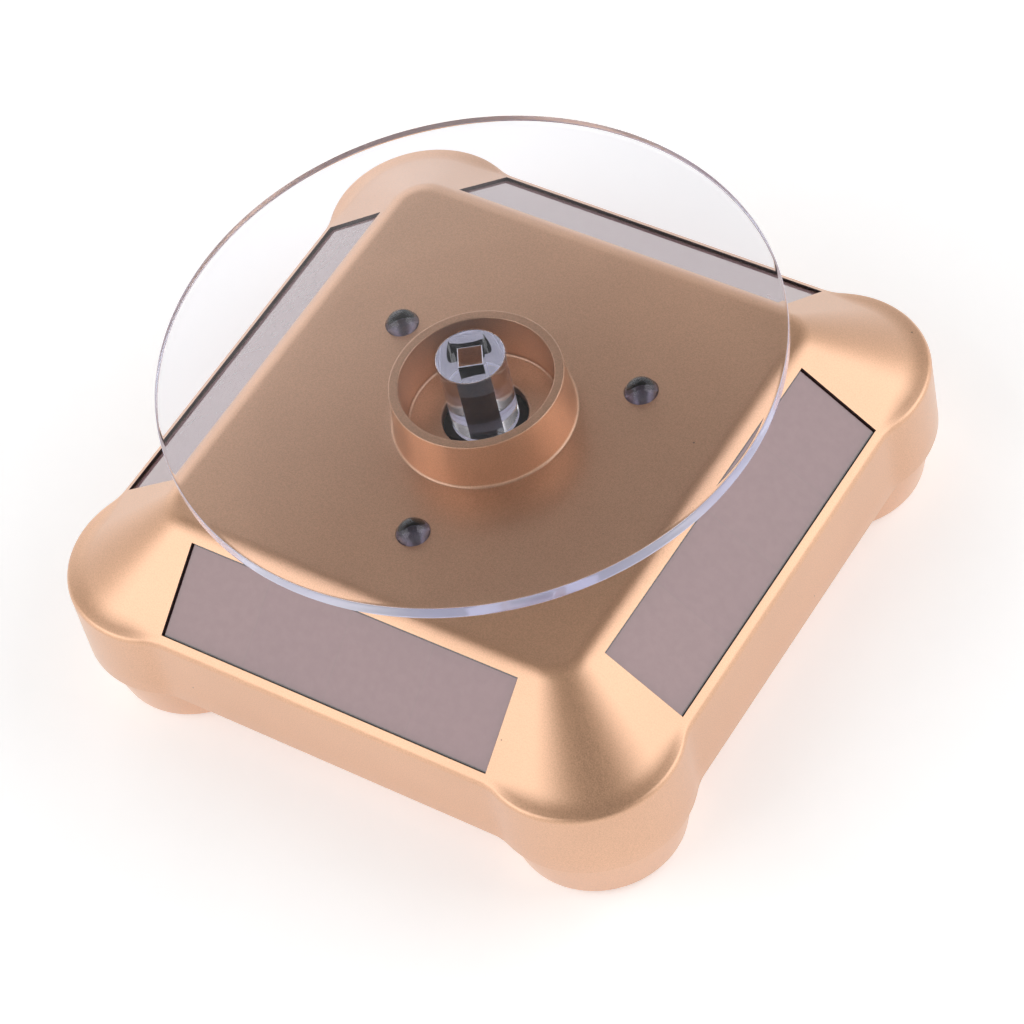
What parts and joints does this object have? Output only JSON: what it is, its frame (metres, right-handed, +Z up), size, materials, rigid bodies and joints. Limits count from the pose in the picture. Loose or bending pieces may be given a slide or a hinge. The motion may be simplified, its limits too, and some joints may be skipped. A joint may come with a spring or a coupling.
{
  "type": "turntable display stand",
  "caption": "Square solar display stand with sloping panels, round corner lobes and feet, and a clear disc that turns on a central spindle.",
  "frame": {"origin": "centre of the square body, on the surface that the rubber pads stand on", "axes": "+Z up along the turntable's axis; -Y is the front side, +X the right side"},
  "size_m": [0.1039, 0.1038, 0.0499],
  "materials": {
    "copper_paint": "satin metallic copper paint",
    "pad_rubber": "matt",
    "solar_glass": "glossy",
    "lamp_clear": "clear, smoky",
    "clear_acrylic": "clear, polished",
    "dark_plastic": "satin",
    "frame_plastic": "satin",
    "gear_plastic": "satin",
    "brass": "machined",
    "steel": "plated",
    "motor_iron": "wound and ground",
    "cell_sleeve": "glossy sleeve",
    "board_green": "solder mask",
    "capacitor_sleeve": "glossy sleeve"
  },
  "bodies": {
    "housing": {"top_shell": "copper_paint", "base_plate": "copper_paint", "foot_front_left": "copper_paint", "foot_front_right": "copper_paint", "foot_back_right": "copper_paint", "foot_back_left": "copper_paint", "pad_front_left": "pad_rubber", "pad_front_right": "pad_rubber", "pad_back_right": "pad_rubber", "pad_back_left": "pad_rubber", "solar_panel_front": "solar_glass", "solar_panel_right": "solar_glass", "solar_panel_back": "solar_glass", "solar_panel_left": "solar_glass", "lamps": "lamp_clear", "housing_screws": "steel", "battery_cell": "cell_sleeve", "contact_plate": "steel", "contact_spring": "steel", "gearbox_lower_plate": "frame_plastic", "gearbox_upper_plate": "frame_plastic", "spindle_bush": "brass", "idler_pins": "steel", "gearbox_plate_screws": "steel", "gearbox_post_screws": "steel", "motor_can": "steel", "motor_end_cap": "dark_plastic", "motor_magnets": "motor_iron", "motor_screws": "steel", "circuit_board": "board_green", "capacitor": "capacitor_sleeve", "board_screws": "steel", "switch_body": "dark_plastic"},
    "spindle": {"drive_spindle": "dark_plastic", "output_wheel": "gear_plastic"},
    "turntable": {"turntable_disc": "clear_acrylic", "disc_stem": "clear_acrylic"},
    "idler_b": {"idler_gear_b": "gear_plastic"},
    "idler_a": {"idler_gear_a": "gear_plastic"},
    "motor_rotor": {"motor_shaft": "steel", "motor_pinion": "brass", "motor_armature": "motor_iron"},
    "battery_door": {"battery_door": "dark_plastic"},
    "switch_slider": {"switch_knob": "dark_plastic"}
  },
  "joints": [
    {"name": "turntable_spin", "type": "hinge", "parent": "housing", "child": "spindle", "pos_m": [0, 0, 0], "axis": [0, 0, 1], "continuous": true},
    {"name": "disc_lift", "type": "slide", "parent": "spindle", "child": "turntable", "axis": [0, 0, 1], "range_m": [0, 0.01]},
    {"name": "idler_b_spin", "type": "hinge", "parent": "housing", "child": "idler_b", "pos_m": [-0.006, 0.01039, 0.02], "axis": [0, 0, 1], "continuous": true},
    {"name": "idler_a_spin", "type": "hinge", "parent": "housing", "child": "idler_a", "pos_m": [0, 0.02079, 0.02], "axis": [0, 0, 1], "continuous": true},
    {"name": "motor_spin", "type": "hinge", "parent": "housing", "child": "motor_rotor", "pos_m": [0.01182, 0.0187, 0.02], "axis": [0, 0, 1], "continuous": true},
    {"name": "battery_door_hinge", "type": "hinge", "parent": "housing", "child": "battery_door", "pos_m": [-0.0273, -0.01375, 0.01], "axis": [0, 1, 0], "range_deg": [0, 90]},
    {"name": "switch_slide", "type": "slide", "parent": "housing", "child": "switch_slider", "axis": [0, 1, 0], "range_m": [0, 0.0025]}
  ],
  "couplings": [
    {"joint": "idler_b_spin", "follows": "turntable_spin", "ratio": -3},
    {"joint": "idler_a_spin", "follows": "turntable_spin", "ratio": 9},
    {"joint": "motor_spin", "follows": "turntable_spin", "ratio": -27}
  ]
}
